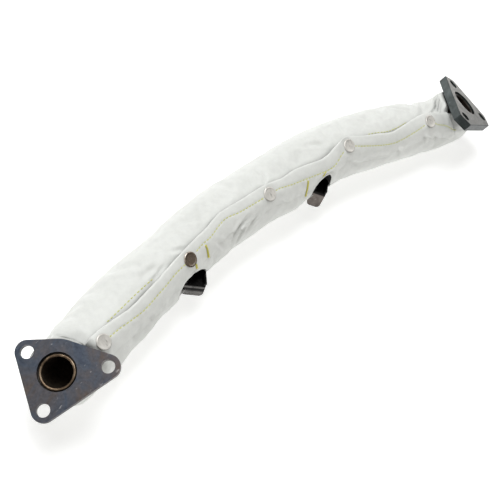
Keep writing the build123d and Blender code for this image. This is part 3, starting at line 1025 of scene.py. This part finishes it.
def flap_section(station):
    """Outline across the pipe: (angle, radius) from the tucked hem, round the lip, to the root."""
    stitch = seam_angle(station)
    height = flap_height(station)
    wave = 0.35 * noise.noise(Vector((station / 9.0, 9.0, 1.0)))
    edge = through(free_edge, station) + 2.2 * wave * (1 - snap_nearness(station, 8.0))
    puff = 1.0 + 0.5 * noise.noise(Vector((station / 13.0, 0.0, 6.0)))
    puff *= 1 - 0.8 * snap_nearness(station, 9.0)
    puff *= 1 - 0.5 * smooth(station, tail_from, tail_to)
    raised = sum(lift * bump(station - place, width) for place, width, lift in lifts)
    points = []
    for share, lift, hinge in lip_section:
        lift = lift if lift < 0 else lift * puff
        points.append((edge + (stitch - edge) * share, height + lift + raised * hinge))
    drop = flap_drop(station)
    start = height - 0.1
    for i in range(1, drape_steps + 1):
        t = i / drape_steps
        angle = stitch + drop * t
        base = cover_at(station, angle)
        radius = base + (start - base) * (1 - smooth(t, 0.02, 1.0))
        wrinkle = noise.noise(Vector((station / 8.0, t * 2.2, 8.0)))
        radius += 0.35 * math.sin(math.pi * t) * wrinkle
        pucker = noise.noise(Vector((station / 5.5, t * 1.2, 2.0)))
        radius += 0.8 * pucker * bump(t - 0.13, 0.16) * (1 - snap_nearness(station, 8.0))
        points.append((angle, base - 0.7 if i == drape_steps else radius))
    return points


snap_axes = [(line.surface(START + s, a, flap_radius), line.outward(START + s, a))
             for s, a in zip(snap_stations, snap_angles)]
cap_flat, cap_clear, cap_band = 8.0, 14.5, 8.0
cap_rise, cap_sink = 3.4, 0.45


def under_caps(point):
    """Keeps the flap flat beneath each snap cap."""
    for seat, out in snap_axes:
        offset = point - seat
        height = offset.dot(out)
        reach = (offset - out * height).length
        if reach < cap_clear and abs(height) < cap_band:
            allowed = cap_rise * smooth(reach, cap_flat, cap_clear) - cap_sink
            if height > allowed:
                point = point - out * (height - allowed)
    return point


def build_flap():
    count = int((flap_last - flap_first) / flap_step)
    full_from = flap_first + closing_step
    closing = [(-4.5, 0.0), (-3.6, 0.25), (-2.4, 0.5), (-1.2, 0.72), (0.0, 0.88), (0.7, 0.96)]
    plan = [(flap_first + shift, share) for shift, share in closing]
    plan += [(full_from + (flap_last - full_from) * i / count, 1.0) for i in range(count + 1)]
    verts, faces = [], []
    for station, share in plan:
        section = flap_section(station)
        for angle, radius in section:
            low = cover_at(station, angle) + 0.3
            if radius > low:
                radius = low + (radius - low) * share
            verts.append(push_outlet(under_caps(line.surface(START + station, angle, radius))))
    width = len(section)
    for i in range(len(plan) - 1):
        for a in range(i * width, (i + 1) * width - 1):
            faces.append((a, a + width, a + width + 1, a + 1))
    obj = make_object("closure_flap_cloth", verts, faces)
    solid = obj.modifiers.new("thickness", "SOLIDIFY")
    solid.thickness = 0.75 * MM
    solid.offset = -1.0
    shade_smooth(rounded_off(obj).data)
    dress(obj, cloth)
    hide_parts("closure_flap")
    return obj


flap = build_flap()
press_creases(flap, lambda station, angle: 0.7 * smooth(angle - seam_angle(station), 1.0, 6.0))
flap_tree = tree_of(flap)


def on_cloth(station, angle):
    """Point and outward direction on whichever cloth is outermost."""
    distance = START + station
    far, reach = 52.0, 36.0
    start = line.surface(distance, angle, far)
    out = line.outward(distance, angle)
    best = None
    for tree in (whole_cover, flap_tree):
        hit = tree.ray_cast(start, -out, reach)
        if hit[0] is not None and (best is None or hit[3] < best[1]):
            best = (hit[0], hit[3])
    if best is None:
        return line.surface(distance, angle, cover_radius), out
    return best[0], out


# ---- stitching ----
def tube_along(points, radii, sides=6):
    """Closed tube through points, in millimetres."""
    verts, faces = [], []
    for i, p in enumerate(points):
        ahead = (points[min(i + 1, len(points) - 1)] - points[max(i - 1, 0)]).normalized()
        across = ahead.orthogonal() if abs(ahead.z) > 0.9 else ahead.cross(Vector((0, 0, 1)))
        side = across.normalized()
        verts += round_points(p, side, ahead.cross(side), sides, radii[i])
    for i in range(len(points) - 1):
        faces += band(i * sides, (i + 1) * sides, sides)
    faces.append(tuple(reversed(range(sides))))
    faces.append(tuple((len(points) - 1) * sides + j for j in range(sides)))
    return verts, faces


def merge(batches):
    verts, faces = [], []
    for v, f in batches:
        base = len(verts)
        verts += v
        faces += [tuple(base + i for i in face) for face in f]
    return verts, faces


# One stitch: share of its length, height above the cloth, share of its thickness.
stitch_profile = [
    (0, -0.35, 0.5), (0.12, 0.05, 0.9), (0.5, 0.16, 1.0), (0.88, 0.05, 0.9), (1, -0.35, 0.5)]
stitch_length, stitch_radius = 3.0, 0.42
cap_gap = 1.2  # between a snap's cap and the nearest stitch
lip_rows = {
    "inlet": (28.0, 92.0, [(18, -1), (28, 3), (51, 6.5), (67, 8), (81, 9.5), (94, 11)]),
    "outlet": (420.0, 480.0, [(418, 13), (430, 15), (450, 19), (470, 15), (482, 10)]),
}
bar_tacks = [
    ((158.6, 27.5), (159.5, 53)), ((139.5, 42.5), (139.8, 52.5)), ((311, 40), (309.5, 72)),
    ((338.6, 43.5), (337.6, 51)),
]
tack_half_width, tack_pitch, tack_radius = 1.05, 0.8, 0.52


def stitch_row(name, start, end, angle_of, skip=(), pitch=4.6):
    """Row of sewn stitches along the run."""
    batches = []
    station = start
    while station < end:
        size = stitch_length * random.uniform(0.88, 1.08)
        if not any(abs(station + size / 2 - s) < cap_radius + cap_gap for s in skip):
            points, radii = [], []
            for t, dip, r in stitch_profile:
                here = station + size * t
                p, out = on_cloth(here, angle_of(here))
                points.append(push_outlet(p + out * dip))
                radii.append(stitch_radius * r)
            batches.append(tube_along(points, radii))
        station += pitch * random.uniform(0.96, 1.04)
    dress(make_object(name, *merge(batches)), thread)


def bar_tack(name, first, last):
    """Dense zigzag stitches between two (station, angle) places."""
    span = (on_cloth(*last)[0] - on_cloth(*first)[0]).length
    count = max(6, int(span / tack_pitch))
    points = []
    for i in range(count + 1):
        t = i / count
        sideways = tack_half_width if i % 2 else -tack_half_width
        station = first[0] + (last[0] - first[0]) * t + sideways
        p, out = on_cloth(station, first[1] + (last[1] - first[1]) * t)
        points.append(p + out * 0.3)
    dress(make_object(name, *tube_along(points, [tack_radius] * len(points))), tack_thread)


stitch_row("closure_stitches", 4.0, 576.0, seam_angle, snap_stations, pitch=4.3)
for end, (row_start, row_end, row_line) in lip_rows.items():
    stitch_row(f"edge_stitches_{end}", row_start, row_end, lambda s: through(row_line, s))
for k, (tack_first, tack_last) in enumerate(bar_tacks, 1):
    bar_tack(f"bar_tack_{k}", tack_first, tack_last)


# ---- bound edges of the bracket openings ----
binding_radius, binding_flatness = 1.05, 1.3
binding_sides = 8


def slot_binding(name, node, bracket):
    """Rolled, sewn edge round a bracket's opening, thinner below the bracket."""
    loop, outs, angles = [], [], []
    for u, v in slot_loops[bracket][::2]:
        angle = v / per_degree
        p, out = on_cloth(u, angle)
        flat = line.surface(START + u, angle, cover_at(u, angle) + 0.3)
        loop.append(flat if (p - flat).length > 2.5 else p)
        outs.append(out)
        angles.append(angle)
    verts, faces = [], []
    for k, (p, out) in enumerate(zip(loop, outs)):
        ahead = (loop[(k + 1) % len(loop)] - loop[k - 1]).normalized()
        side = ahead.cross(out).normalized()
        size = binding_radius * (1 + 0.25 * noise.noise(p * 0.3))
        size *= 1 - 0.7 * smooth(angles[k], 80, 92)
        verts += round_points(p, side * binding_flatness, out, binding_sides, size)
    for k in range(len(loop)):
        faces += band(k * binding_sides, (k + 1) % len(loop) * binding_sides, binding_sides)
    obj = rounded_off(make_object(name, verts, faces))
    dress(obj, cloth)
    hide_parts(node)


for k in (1, 2):
    slot_binding(f"slot_binding_{k}", f"opening_patch_{k}", f"bracket_{k}")


# ---- snaps ----
# Radius and height of the pressed cap, from its dished middle over the rolled rim to its back.
cap_profile = [
    (0.0, 1.02), (1.6, 1.04), (3.4, 1.12), (4.8, 1.24), (5.4, 1.36), (6.0, 1.56), (6.6, 1.62),
    (7.1, 1.5), (7.42, 1.15), (7.5, 0.75), (7.42, 0.3), (7.1, 0.0), (3.0, 0.0),
]
cap_sides = 48


def snap_cap(k, material):
    """Pressed cap with a rolled rim and a shallow dished middle."""
    centre, out = snap_axes[k - 1]
    along = line.station(START + snap_stations[k - 1])[1]
    side = out.cross(along)
    verts = [centre + out * cap_profile[0][1]]
    for r, z in cap_profile[1:]:
        verts += round_points(centre + out * z, along, side, cap_sides, r)
    faces = [(0, 1 + j, 1 + (j + 1) % cap_sides) for j in range(cap_sides)]
    first = [1 + i * cap_sides for i in range(len(cap_profile) - 1)]
    for inner, outer_ring in zip(first, first[1:]):
        faces += band(outer_ring, inner, cap_sides)
    faces.append(tuple(first[-1] + j for j in reversed(range(cap_sides))))
    obj = make_object(f"snap_cap_{k}_pressed", verts, faces)
    dress(obj, material)
    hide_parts(f"snap_cap_{k}")


for k in range(1, 6):
    snap_cap(k, nickel_dark if k == 2 else nickel)


# ---- floor and light ----
floor_half = 6.0
floor_z = cad_box[0][2] - 0.002
corners = [(-1, -1), (1, -1), (1, 1), (-1, 1)]
mesh = bpy.data.meshes.new("floor")
mesh.from_pydata([(x * floor_half, y * floor_half, floor_z) for x, y in corners], [],
                 [(0, 1, 2, 3)])
s = Shade("floor_white")
s.colour(s.ramp(s.noise(3.0), [(0.0, 0.93), (1.0, 0.95)]))
s.set(Roughness=0.9, Specular_IOR_Level=0.1, Emission_Color=(1, 1, 1, 1), Emission_Strength=0.38)
mesh.materials.append(s.material)
placed("floor", mesh)


def add_area(name, place, size, power, colour=(1.0, 1.0, 1.0)):
    """Square lamp that points at the middle of the pipe."""
    data = bpy.data.lights.new(name, "AREA")
    data.size = size
    data.energy = power
    data.color = colour
    obj = placed(name, data)
    obj.location = place
    towards = Vector((0.31, 0.02, 0.0)) - Vector(place)
    obj.rotation_euler = towards.to_track_quat("-Z", "Y").to_euler()


add_area("key_light", (0.2, 0.9, 1.9), 1.3, 31.0, (0.97, 0.985, 1.0))
add_area("fill_light", (-1.4, -0.3, 1.2), 1.6, 2.6)
add_area("rim_light", (1.7, 0.3, 0.9), 1.0, 3.0)
world = bpy.data.worlds.new("studio")
bpy.context.scene.world = world
world.use_nodes = True
background = world.node_tree.nodes["Background"]
background.inputs["Color"].default_value = (1.0, 0.99, 0.95, 1.0)
background.inputs["Strength"].default_value = 0.42
bpy.context.scene.view_settings.view_transform = "Standard"
